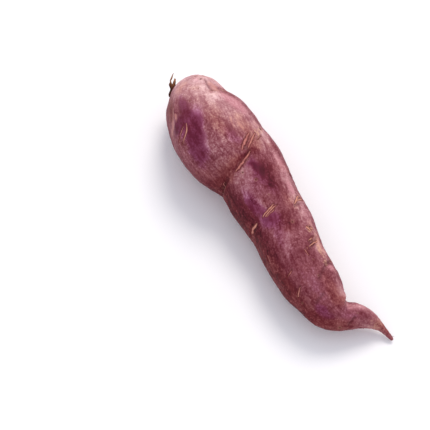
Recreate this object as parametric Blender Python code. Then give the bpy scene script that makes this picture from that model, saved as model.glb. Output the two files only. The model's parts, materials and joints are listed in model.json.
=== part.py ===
"""A purple-skinned sweet potato lying on its side, with the dried stub of its vine.

Metres, +Z up. X runs from the crown, at -X, to the tip of the tail, at +X.
The origin is on the table, under the middle of the whole object.
"""

import math

import bmesh
import bpy
import numpy as np

MM = 0.001

# Spine stations from the crown to the tip of the tail, in millimetres:
# x, y, height of the underside, half of the width.
# An underside below zero is where the belly is pressed flat by the table.
STATIONS = (
    (-95, 12.5, 3, 18),
    (-84, 10.5, 2.6, 18),
    (-72, 5.5, 1.7, 21),
    (-55, 3, 0.5, 24.5),
    (-41, 2, -0.2, 24.5),
    (-22, 4, -0.4, 21),
    (-6, 0.5, -0.4, 19.5),
    (15, -3, -0.3, 17.5),
    (38, -9.5, 0.7, 16.5),
    (56, -12, 2, 14.5),
    (66, -12.5, 3, 12),
    (73, -9.5, 3.8, 9),
    (78, -4, 4.4, 7),
    (83.5, 1.5, 4.2, 5),
    (89, 5, 3, 2.6),
    (98.5, 7, 0.5, 1),
)
HEIGHT_SHARE = 0.93  # height of a cross-section over its width
CROWN_ROUNDING = 18 * MM  # spine length over which the crown closes into a dome
TIP_ROUNDING = 1.2 * MM  # the same at the tip of the tail
BEND_REACH = 5 * MM  # a section is square to the spine's run this far either side of it
RINGS = 60
SIDES = 32

TABLE_CUTTER = (0.24, 0.1, 0.02)  # a block under the table's surface
STEM_GAP = 0.3 * MM  # clearance between the dried stem and the crown

# Vine stub, in millimetres: x, y, z and radius. Its foot starts inside the crown.
STUB = ((-89.5, 1.5, 19.4, 2.6), (-93, -0.4, 20, 2.2), (-94.6, 1.4, 21.8, 1.6), (-95.4, 3, 23.6, 1.7))
STRANDS = (
    ((-95.2, 2.7, 23.2, 1.2), (-96.6, 4, 25.6, 0.9), (-97.6, 5.3, 27.4, 0.7), (-98.6, 6.8, 29, 0.4)),
    ((-95.2, 2.8, 23.2, 1.4), (-95.7, 4.6, 25.2, 1.2), (-96.4, 6.4, 27, 0.6)),
    ((-94.4, 1.3, 21.8, 1.1), (-96.2, 1.8, 23.4, 0.8), (-97.2, 2.2, 25, 0.4)),
)

SKIN_COLOUR = (0.27, 0.075, 0.105)
STEM_COLOUR = (0.19, 0.13, 0.075)


def clear_scene():
    for obj in list(bpy.data.objects):
        bpy.data.objects.remove(obj, do_unlink=True)


def new_collection(name):
    collection = bpy.data.collections.new(name)
    bpy.context.scene.collection.children.link(collection)
    return collection


def new_material(name, colour, roughness):
    material = bpy.data.materials.new(name)
    material.use_nodes = True
    shader = material.node_tree.nodes["Principled BSDF"]
    shader.inputs["Base Color"].default_value = (*colour, 1)
    shader.inputs["Roughness"].default_value = roughness
    shader.inputs["Metallic"].default_value = 0
    return material


def add_mesh(name, mesh, collection, material=None):
    obj = bpy.data.objects.new(name, mesh)
    if material:
        mesh.materials.append(material)
    mesh.shade_smooth()
    collection.objects.link(obj)
    return obj


def make_cutter(obj):
    obj.hide_render = True
    obj.display_type = "WIRE"
    return obj


def add_boolean(obj, operation, other):
    modifier = obj.modifiers.new(f"{operation.lower()}_{other.name}", "BOOLEAN")
    modifier.operation = operation
    modifier.solver = "EXACT"
    modifier.object = other


class Spine:
    """A smooth curve through the stations, measured by its length from the crown."""

    def __init__(self, stations):
        table = np.array(stations) * MM
        steps = np.diff(table[:, :2], axis=0)
        self.knots = np.concatenate([[0], np.cumsum(np.hypot(*steps.T))])
        self.length = self.knots[-1]
        half_height = HEIGHT_SHARE * table[:, 3]
        middle = table[:, 2] + half_height
        self.values = np.column_stack([table[:, :2], middle, table[:, 3]])
        self.slopes = self.knot_slopes()

    def knot_slopes(self):
        gaps = np.diff(self.knots)[:, None]
        rises = np.diff(self.values, axis=0) / gaps
        inner = (rises[:-1] * gaps[1:] + rises[1:] * gaps[:-1]) / (gaps[1:] + gaps[:-1])
        return np.vstack([rises[:1], inner, rises[-1:]])

    def at(self, place):
        """Centre and half-width at a length along the spine, by cubic interpolation."""
        i = int(np.clip(np.searchsorted(self.knots, place) - 1, 0, len(self.knots) - 2))
        gap = self.knots[i + 1] - self.knots[i]
        t = (place - self.knots[i]) / gap
        start, end = self.values[i], self.values[i + 1]
        leaving, arriving = self.slopes[i] * gap, self.slopes[i + 1] * gap
        found = (
            start * (1 + 2 * t) * (1 - t) ** 2
            + leaving * t * (1 - t) ** 2
            + end * t * t * (3 - 2 * t)
            + arriving * t * t * (t - 1)
        )
        return found[:3], found[3]

    def frame_at(self, place):
        """Unit vectors across and up, square to the spine."""
        before = max(place - BEND_REACH, 0)
        after = min(place + BEND_REACH, self.length)
        along = self.at(after)[0] - self.at(before)[0]
        along /= np.linalg.norm(along)
        across = np.array([-along[1], along[0], 0])
        across /= np.linalg.norm(across)
        return across, np.cross(along, across)

    def closing(self, place):
        """Share of the full width left where the crown and the tip round off."""
        crown = min(place / CROWN_ROUNDING, 1)
        tip = min((self.length - place) / TIP_ROUNDING, 1)
        return math.sqrt(1 - (1 - crown) ** 2) * math.sqrt(1 - (1 - tip) ** 2)

    def skin_point(self, place, turn):
        """A point of the skin. The turn is 0 at the +Y side and a quarter turn at the top."""
        centre, half_width = self.at(place)
        across, up = self.frame_at(place)
        reach = half_width * self.closing(place)
        return centre + reach * (across * math.cos(turn) + HEIGHT_SHARE * up * math.sin(turn))


def root_mesh(spine, name, grown=0.0):
    """A sphere whose pole-to-pole rings are drawn out along the spine, then swollen by grown."""
    bm = bmesh.new()
    bmesh.ops.create_uvsphere(bm, u_segments=SIDES, v_segments=RINGS, radius=1)
    for vertex in bm.verts:
        polar = math.acos(max(-1, min(1, vertex.co.z)))
        turn = math.atan2(vertex.co.y, vertex.co.x)
        place = spine.length * (1 - math.cos(polar)) / 2
        vertex.co = spine.skin_point(place, turn)
    bmesh.ops.reverse_faces(bm, faces=bm.faces)  # the spine runs against the sphere's own axis
    bm.normal_update()
    if grown:
        moved = [vertex.co + grown * vertex.normal for vertex in bm.verts]
        for vertex, place in zip(bm.verts, moved):
            vertex.co = place
    mesh = bpy.data.meshes.new(name)
    bm.to_mesh(mesh)
    bm.free()
    return mesh


def table_cutter(collection):
    """A block whose top is the table, to press the belly flat."""
    bm = bmesh.new()
    bmesh.ops.create_cube(bm, size=1)
    bmesh.ops.scale(bm, vec=TABLE_CUTTER, verts=bm.verts)
    bmesh.ops.translate(bm, vec=(0, 0, -TABLE_CUTTER[2] / 2), verts=bm.verts)
    mesh = bpy.data.meshes.new("table_cutter")
    bm.to_mesh(mesh)
    bm.free()
    return make_cutter(add_mesh("table_cutter", mesh, collection))


def add_root(spine, collection, cutters):
    material = new_material("purple_skin", SKIN_COLOUR, 0.6)
    root = add_mesh("sweet_potato", root_mesh(spine, "sweet_potato"), collection, material)
    add_boolean(root, "DIFFERENCE", table_cutter(cutters))
    return root


def strand_mesh(name, points):
    """A tapering twig through points of x, y, z and radius in millimetres, as a closed mesh."""
    curve = bpy.data.curves.new(name, "CURVE")
    curve.dimensions = "3D"
    curve.bevel_depth = MM
    curve.bevel_resolution = 2
    curve.use_fill_caps = True
    curve.resolution_u = 4
    spline = curve.splines.new("BEZIER")
    spline.bezier_points.add(len(points) - 1)
    for knot, (x, y, z, radius) in zip(spline.bezier_points, points):
        knot.co = (x * MM, y * MM, z * MM)
        knot.radius = radius
        knot.handle_left_type = knot.handle_right_type = "AUTO"
    holder = bpy.data.objects.new(name + "_path", curve)
    bpy.context.scene.collection.objects.link(holder)
    bpy.context.view_layer.update()
    evaluated = holder.evaluated_get(bpy.context.evaluated_depsgraph_get())
    mesh = bpy.data.meshes.new_from_object(evaluated)
    mesh.transform(holder.matrix_world)
    bpy.data.objects.remove(holder, do_unlink=True)
    bm = bmesh.new()
    bm.from_mesh(mesh)
    bmesh.ops.remove_doubles(bm, verts=bm.verts, dist=0.01 * MM)
    bmesh.ops.recalc_face_normals(bm, faces=bm.faces)
    bm.to_mesh(mesh)
    bm.free()
    return mesh


def add_stem(spine, collection, cutters):
    """The dried vine stub: one short neck that frays into strands, seated on the crown."""
    material = new_material("dried_vine", STEM_COLOUR, 0.85)
    stem = add_mesh("dried_stem", strand_mesh("stub", STUB), collection, material)
    for number, points in enumerate(STRANDS, 1):
        name = f"stem_strand_{number}"
        strand = make_cutter(add_mesh(name, strand_mesh(name, points), cutters))
        add_boolean(stem, "UNION", strand)
    seat = add_mesh("stem_seat_cutter", root_mesh(spine, "stem_seat_cutter", STEM_GAP), cutters)
    add_boolean(stem, "DIFFERENCE", make_cutter(seat))
    return stem


def main():
    clear_scene()
    parts = new_collection("sweet_potato_with_stem")
    cutters = new_collection("cutters")
    spine = Spine(STATIONS)
    add_root(spine, parts, cutters)
    add_stem(spine, parts, cutters)
    bpy.context.view_layer.update()


main()
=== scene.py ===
import json
import math

import bmesh
import bpy
import numpy as np
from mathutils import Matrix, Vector
from mathutils import noise as softNoise

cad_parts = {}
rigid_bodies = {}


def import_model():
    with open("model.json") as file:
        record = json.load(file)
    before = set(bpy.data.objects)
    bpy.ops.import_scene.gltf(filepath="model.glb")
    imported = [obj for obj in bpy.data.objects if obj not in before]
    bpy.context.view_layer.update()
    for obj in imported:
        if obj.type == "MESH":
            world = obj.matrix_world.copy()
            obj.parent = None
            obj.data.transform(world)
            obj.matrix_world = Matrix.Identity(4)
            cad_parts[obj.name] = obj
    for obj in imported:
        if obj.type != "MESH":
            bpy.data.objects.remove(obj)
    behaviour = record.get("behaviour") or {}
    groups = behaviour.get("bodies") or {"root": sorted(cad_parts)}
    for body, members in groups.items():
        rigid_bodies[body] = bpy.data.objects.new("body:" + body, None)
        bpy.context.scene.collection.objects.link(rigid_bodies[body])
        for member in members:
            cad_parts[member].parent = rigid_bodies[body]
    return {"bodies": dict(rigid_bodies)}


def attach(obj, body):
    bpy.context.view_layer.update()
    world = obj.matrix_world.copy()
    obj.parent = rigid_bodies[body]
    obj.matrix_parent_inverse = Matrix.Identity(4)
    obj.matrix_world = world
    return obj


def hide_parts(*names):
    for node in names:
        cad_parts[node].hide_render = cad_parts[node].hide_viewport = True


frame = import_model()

# A purple-skinned sweet potato, laid on a pale table and seen from above.
# x runs from the crown to the tip of the tail, z is up, everything in metres.

scene = bpy.context.scene
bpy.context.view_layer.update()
bodyName = list(frame["bodies"])[0]
mm = 0.001
fullTurn = 2 * math.pi


class Wire:
    # one output socket of a node tree: sums and products on it add the nodes
    def __init__(self, graph, socket):
        self.graph = graph
        self.socket = socket

    def __add__(self, other):
        return self.graph.combine("ADD", self, other)

    def __sub__(self, other):
        return self.graph.combine("SUBTRACT", self, other)

    def __mul__(self, other):
        return self.graph.combine("MULTIPLY", self, other)

    def __truediv__(self, other):
        return self.graph.combine("DIVIDE", self, other)

    def __radd__(self, other):
        return self.graph.combine("ADD", other, self)

    def __rsub__(self, other):
        return self.graph.combine("SUBTRACT", other, self)

    def __rmul__(self, other):
        return self.graph.combine("MULTIPLY", other, self)

    def __neg__(self):
        return self.graph.combine("MULTIPLY", self, -1)


def isVector(value):
    return isinstance(value, tuple) or (isinstance(value, Wire) and value.socket.type == "VECTOR")


def colour(red, green, blue):
    # from the 0 to 255 scale of a colour picker to linear light
    def linear(value):
        value /= 255
        return value / 12.92 if value <= 0.04045 else ((value + 0.055) / 1.055) ** 2.4

    return tuple(linear(value) for value in (red, green, blue))


def opaque(rgb):
    return (*rgb, 1)


class Graph:
    # adds nodes to one tree, for geometry or for a material
    def __init__(self, tree):
        self.tree = tree

    def find(self, sockets, key):
        if isinstance(key, int):
            return sockets[key]
        for socket in sockets:
            if socket.identifier == key:
                return socket
        return sockets[key]

    def feed(self, node, inputs):
        for key, value in inputs.items():
            socket = self.find(node.inputs, key)
            if isinstance(value, Wire):
                self.tree.links.new(value.socket, socket)
            elif value is not None:
                socket.default_value = value

    def node(self, kind, settings=None, inputs=None, output=0):
        made = self.tree.nodes.new(kind)
        for name, value in (settings or {}).items():
            if name == "stops":
                self.setStops(made.color_ramp.elements, value)
            else:
                setattr(made, name, value)
        self.feed(made, inputs or {})
        return made if output is None else Wire(self, self.find(made.outputs, output))

    def setStops(self, elements, stops):
        while len(elements) < len(stops):
            elements.new(0.5)
        for element, (place, rgb) in zip(elements, stops):
            element.position = place
            element.color = opaque(colour(*rgb))

    def maths(self, operation, *values):
        return self.node("ShaderNodeMath", {"operation": operation}, dict(enumerate(values)))

    def combine(self, operation, first, second):
        if not (isVector(first) or isVector(second)):
            return self.maths(operation, first, second)
        pair = (x if isinstance(x, (Wire, tuple)) else (x, x, x) for x in (first, second))
        return self.node("ShaderNodeVectorMath", {"operation": operation}, dict(enumerate(pair)))

    def vector(self, x=0.0, y=0.0, z=0.0):
        return self.node("ShaderNodeCombineXYZ", None, {0: x, 1: y, 2: z})

    def parts(self, vector):
        made = self.node("ShaderNodeSeparateXYZ", None, {0: vector}, None)
        return [Wire(self, socket) for socket in made.outputs]

    def smooth(self, value, low, high):
        return self.node(
            "ShaderNodeMapRange",
            {"interpolation_type": "SMOOTHSTEP"},
            {"Value": value, "From Min": low, "From Max": high},
        )

    def bell(self, distance, width):
        # 1 on the line and falling away smoothly over the width
        share = distance / width
        return self.maths("EXPONENT", -(share * share))

    def noise(self, vector, scale, detail=2.0, roughness=0.5, distortion=0.0):
        # centred on zero, about -1 to 1
        made = self.node(
            "ShaderNodeTexNoise",
            {"noise_dimensions": "3D"},
            {
                "Vector": vector,
                "Scale": scale,
                "Detail": detail,
                "Roughness": roughness,
                "Distortion": distortion,
            },
        )
        return (made - 0.5) * 2.6

    # for materials

    def read(self, name, output="Fac"):
        return self.node("ShaderNodeAttribute", {"attribute_name": name}, None, output)

    def spot(self):
        return self.node("ShaderNodeTexCoord", None, None, "Object")

    def mix(self, factor, first, second, blend="MIX"):
        return self.node(
            "ShaderNodeMix",
            {"data_type": "RGBA", "blend_type": blend, "clamp_factor": True},
            {"Factor_Float": factor, "A_Color": first, "B_Color": second},
            "Result_Color",
        )

    def paint(self, factor, base, rgb):
        return self.mix(factor, base, opaque(colour(*rgb)))

    def ramp(self, value, stops):
        return self.node("ShaderNodeValToRGB", {"stops": stops}, {"Fac": value}, "Color")

    def bump(self, height, strength, distance):
        values = {"Strength": strength, "Distance": distance * mm, "Height": height}
        return self.node("ShaderNodeBump", None, values, "Normal")

    # for geometry

    def position(self):
        return self.node("GeometryNodeInputPosition")

    def normal(self):
        return self.node("GeometryNodeInputNormal")

    def splinePlace(self, output):
        return self.node("GeometryNodeSplineParameter", None, None, output)

    def kept(self, name, kind="FLOAT"):
        return self.node("GeometryNodeInputNamedAttribute", {"data_type": kind}, {"Name": name})

    def keep(self, geometry, name, value, kind="FLOAT"):
        return self.node(
            "GeometryNodeStoreNamedAttribute",
            {"data_type": kind, "domain": "POINT"},
            {"Geometry": geometry, "Name": name, "Value": value},
        )

    def atPoint(self, geometry, value, index, kind="FLOAT"):
        return self.node(
            "GeometryNodeSampleIndex",
            {"data_type": kind, "domain": "POINT"},
            {"Geometry": geometry, "Value": value, "Index": index},
        )

    def shapeOf(self, guide):
        return self.node("GeometryNodeObjectInfo", None, {"Object": guide}, "Geometry")

    def move(self, geometry, place):
        return self.node("GeometryNodeSetPosition", None, {"Geometry": geometry, "Position": place})

    def moveAbove(self, geometry, place, clearance):
        # nothing goes lower than this clearance over the table
        x, y, z = self.parts(place)
        return self.move(geometry, self.vector(x, y, self.maths("MAXIMUM", z, clearance * mm)))

    def shift(self, geometry, offset):
        return self.node("GeometryNodeSetPosition", None, {"Geometry": geometry, "Offset": offset})

    def sweep(self, runs, section, scale, caps):
        return self.node(
            "GeometryNodeCurveToMesh",
            None,
            {"Curve": runs, "Profile Curve": section, "Scale": scale, "Fill Caps": caps},
        )

    def roundSection(self, sides):
        # a circle that keeps each point's share of the way round
        circle = self.node(
            "GeometryNodeCurvePrimitiveCircle", None, {"Resolution": sides, "Radius": 1.0}
        )
        return self.keep(circle, "around", self.splinePlace("Factor"))


def newTree(name, build, values):
    # a geometry tree with one named input for each value, which ends in its material
    tree = bpy.data.node_groups.new(name, "GeometryNodeTree")
    newSocket = tree.interface.new_socket
    newSocket("Geometry", in_out="INPUT", socket_type="NodeSocketGeometry")
    for label, value in values.items():
        kind = {int: "Int", float: "Float"}.get(type(value), type(value).__name__)
        newSocket(label, in_out="INPUT", socket_type="NodeSocket" + kind)
    newSocket("Geometry", in_out="OUTPUT", socket_type="NodeSocketGeometry")
    graph = Graph(tree)
    start = graph.node("NodeGroupInput", output=None)
    given = {socket.name: Wire(graph, socket) for socket in start.outputs if socket.name}
    real = graph.node("GeometryNodeRealizeInstances", None, {"Geometry": build(graph, given)})
    painted = {"Geometry": real, "Material": given.get("Material")}
    graph.node("NodeGroupOutput", None, {0: graph.node("GeometryNodeSetMaterial", None, painted)}, None)
    return tree


def grow(name, base, build, values):
    # runs a geometry tree once on the base and keeps the plain mesh that it makes
    source = bpy.data.objects.new(name + "Source", base)
    modifier = source.modifiers.new("grow", "NODES")
    modifier.node_group = newTree(name, build, values)
    for item in modifier.node_group.interface.items_tree:
        if item.in_out == "INPUT" and item.name in values:
            modifier[item.identifier] = values[item.name]
    scene.collection.objects.link(source)
    bpy.context.view_layer.update()
    depsgraph = bpy.context.evaluated_depsgraph_get()
    mesh = bpy.data.meshes.new_from_object(
        source.evaluated_get(depsgraph), preserve_all_data_layers=True, depsgraph=depsgraph
    )
    bpy.data.objects.remove(source, do_unlink=True)
    mesh.name = name
    return mesh


def vectorValues(mesh, name):
    values = np.empty(len(mesh.vertices) * 3, np.float32)
    mesh.attributes[name].data.foreach_get("vector", values)
    return values.reshape(-1, 3)


def storeValues(mesh, name, values, kind="FLOAT"):
    made = mesh.attributes.new(name, kind, "POINT")
    flat = np.ascontiguousarray(values, np.float32).ravel()
    made.data.foreach_set("vector" if kind == "FLOAT_VECTOR" else "value", flat)


def pointMesh(name, places, edges=(), faces=()):
    mesh = bpy.data.meshes.new(name)
    mesh.from_pydata([tuple(place) for place in places], list(edges), list(faces))
    return mesh


def chainMesh(name, runs, widths):
    # each run of points as a chain of edges, with the half width at every point
    places, edges = [], []
    for run in runs:
        start = len(places)
        places.extend(run)
        edges.extend((start + k, start + k + 1) for k in range(len(run) - 1))
    mesh = pointMesh(name, places, edges)
    storeValues(mesh, "halfWidth", np.concatenate(widths))
    return mesh


def faceOutward(mesh):
    bm = bmesh.new()
    bm.from_mesh(mesh)
    if bm.calc_volume(signed=True) < 0:
        bmesh.ops.reverse_faces(bm, faces=bm.faces)
        bm.to_mesh(mesh)
    bm.free()


def addObject(name, data):
    obj = bpy.data.objects.new(name, data)
    scene.collection.objects.link(obj)
    return obj


def addPiece(name, mesh, material):
    piece = addObject(name, mesh)
    mesh.materials.clear()
    mesh.materials.append(material)
    mesh.polygons.foreach_set("material_index", [0] * len(mesh.polygons))
    mesh.shade_smooth()
    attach(piece, bodyName)
    return piece


def newMaterial(name):
    material = bpy.data.materials.new(name)
    material.use_nodes = True
    return material, Graph(material.node_tree), material.node_tree.nodes["Principled BSDF"]


camera = {
    "lens": 100,
    "sensor": 36,
    "distance": 0.68,
    "azimuth": 52.6,
    "elevation": 60,
    "aim": (-0.02156, -0.0212, 0),
    "clipStart": 0.01,
}


def addCamera():
    data = bpy.data.cameras.new("camera")
    data.lens = camera["lens"]
    data.sensor_width = camera["sensor"]
    data.clip_start = camera["clipStart"]
    turn, rise = math.radians(camera["azimuth"]), math.radians(camera["elevation"])
    level = math.cos(rise)
    away = Vector((math.sin(turn) * level, -math.cos(turn) * level, math.sin(rise)))
    obj = addObject("camera", data)
    obj.location = Vector(camera["aim"]) + camera["distance"] * away
    obj.rotation_euler = away.to_track_quat("Z", "Y").to_euler()
    scene.camera = obj


addCamera()


# stations from the crown to the tail's tip: x, y, height of the underside, half width, in mm
root = {
    "stations": (
        (-95, 12.5, 3, 18),
        (-84, 10.5, 2.6, 18),
        (-72, 5.5, 1.7, 21),
        (-55, 3, 0.5, 24.5),
        (-41, 2, -0.2, 24.5),
        (-22, 4, -0.4, 21),
        (-6, 0.5, -0.4, 19.5),
        (15, -3, -0.3, 17.5),
        (38, -9.5, 0.7, 16.5),
        (56, -12, 2, 14.5),
        (66, -12.5, 3, 12),
        (73, -9.5, 3.8, 9),
        (78, -4, 4.4, 7),
        (83.5, 1.5, 4.2, 5),
        (89, 5, 3, 2.6),
        (98.5, 7, 0.5, 1),
    ),
    "heightShare": 0.93,  # height of a section over its width
    "crownRounding": 18,  # length over which the crown closes, in mm
    "tipRounding": 1.2,  # the same at the tip of the tail
    "bendReach": 5,  # a section is square to the run this far either side of it
    "rings": 440,
    "sides": 220,
    "weld": 0.002,  # points closer than this become one, in mm
}


class Form:
    # the smooth form of the root, by length along its spine and turn round it
    def __init__(self, root):
        table = np.array(root["stations"], float)
        steps = np.diff(table[:, :2], axis=0)
        self.knots = np.concatenate([[0], np.cumsum(np.hypot(*steps.T))])
        self.length = self.knots[-1]
        middle = table[:, 2] + root["heightShare"] * table[:, 3]
        self.values = np.column_stack([table[:, :2], middle, table[:, 3]])
        gaps = np.diff(self.knots)[:, None]
        rises = np.diff(self.values, axis=0) / gaps
        inner = (rises[:-1] * gaps[1:] + rises[1:] * gaps[:-1]) / (gaps[1:] + gaps[:-1])
        self.slopes = np.vstack([rises[:1], inner, rises[-1:]])

    def at(self, place):
        place = np.clip(np.atleast_1d(np.asarray(place, float)), 0, self.length)
        i = np.clip(np.searchsorted(self.knots, place) - 1, 0, len(self.knots) - 2)
        gap = (self.knots[i + 1] - self.knots[i])[:, None]
        t = (place[:, None] - self.knots[i][:, None]) / gap
        leaving, arriving = self.slopes[i] * gap, self.slopes[i + 1] * gap
        return (
            self.values[i] * (1 + 2 * t) * (1 - t) ** 2
            + leaving * t * (1 - t) ** 2
            + self.values[i + 1] * t * t * (3 - 2 * t)
            + arriving * t * t * (t - 1)
        )

    def sections(self, place):
        # centre, unit vectors across and up, and half width of each section
        place = np.atleast_1d(np.asarray(place, float))
        values = self.at(place)
        reach = root["bendReach"]
        along = self.at(place + reach)[:, :3] - self.at(place - reach)[:, :3]
        along /= np.linalg.norm(along, axis=1)[:, None]
        across = np.column_stack([-along[:, 1], along[:, 0], 0 * place])
        across /= np.linalg.norm(across, axis=1)[:, None]
        crown = np.minimum(place / root["crownRounding"], 1)
        tip = np.minimum((self.length - place) / root["tipRounding"], 1)
        closing = np.sqrt((1 - (1 - crown) ** 2) * (1 - (1 - tip) ** 2))
        return values[:, :3], across, np.cross(along, across), values[:, 3] * closing

    def skinPoint(self, place, degrees):
        centre, across, up, reach = self.sections(place)
        turn = np.radians(np.atleast_1d(np.asarray(degrees, float)))[:, None]
        around = across * np.cos(turn) + root["heightShare"] * up * np.sin(turn)
        return (centre + reach[:, None] * around) * mm

    def evenPlaces(self, count):
        # ring places at even distances over the skin, so the crown's dome is as fine as the belly
        fine = self.length * (1 - np.cos(np.linspace(0, math.pi, 4000))) / 2
        reach = self.sections(fine)[3]
        walked = np.concatenate([[0], np.cumsum(np.hypot(np.diff(fine), np.diff(reach)))])
        return np.interp(np.linspace(0, walked[-1], count), walked, fine)


form = Form(root)


def spineMesh():
    # one point for each ring, with what the loft reads from it
    places = form.evenPlaces(root["rings"])
    centre, across, up, reach = form.sections(places)
    mesh = pointMesh("spine", centre * mm)
    storeValues(mesh, "across", across, "FLOAT_VECTOR")
    storeValues(mesh, "up", up, "FLOAT_VECTOR")
    storeValues(mesh, "reach", reach * mm)
    storeValues(mesh, "place", places * mm)
    return mesh


def loftTree(graph, given):
    # a grid bent round the spine, ring by ring, and welded along its seam
    grid = graph.node(
        "GeometryNodeMeshGrid",
        None,
        {"Size X": 1.0, "Size Y": 1.0, "Vertices X": given["Rings"], "Vertices Y": given["Sides"]},
    )
    lengthwise, crosswise, _ = graph.parts(graph.position())
    ring = graph.maths("ROUND", (lengthwise + 0.5) * (given["Rings"] - 1))
    turn = (crosswise + 0.5) * fullTurn

    def ofRing(value, kind="FLOAT"):
        return graph.atPoint(given["Geometry"], value, ring, kind)

    def ringVector(name):
        return ofRing(graph.kept(name, "FLOAT_VECTOR"), "FLOAT_VECTOR")

    reach = ofRing(graph.kept("reach"))
    sideways = reach * graph.maths("COSINE", turn)
    upward = reach * graph.maths("SINE", turn)
    offset = ringVector("across") * sideways
    offset = offset + ringVector("up") * (upward * given["Height Share"])
    grown = graph.vector(ofRing(graph.kept("place")), sideways, upward)
    marked = graph.keep(grid, "grown", grown, "FLOAT_VECTOR")
    bent = graph.move(marked, ofRing(graph.position(), "FLOAT_VECTOR") + offset)
    weld = {"Geometry": bent, "Distance": given["Weld"] * mm}
    return graph.node("GeometryNodeMergeByDistance", None, weld)


print("root: lofting the form")
loftMesh = grow(
    "rootLoft",
    spineMesh(),
    loftTree,
    {
        "Rings": root["rings"],
        "Sides": root["sides"] + 1,  # the first and the last are welded into one
        "Height Share": root["heightShare"],
        "Weld": root["weld"],
    },
)
faceOutward(loftMesh)

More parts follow.
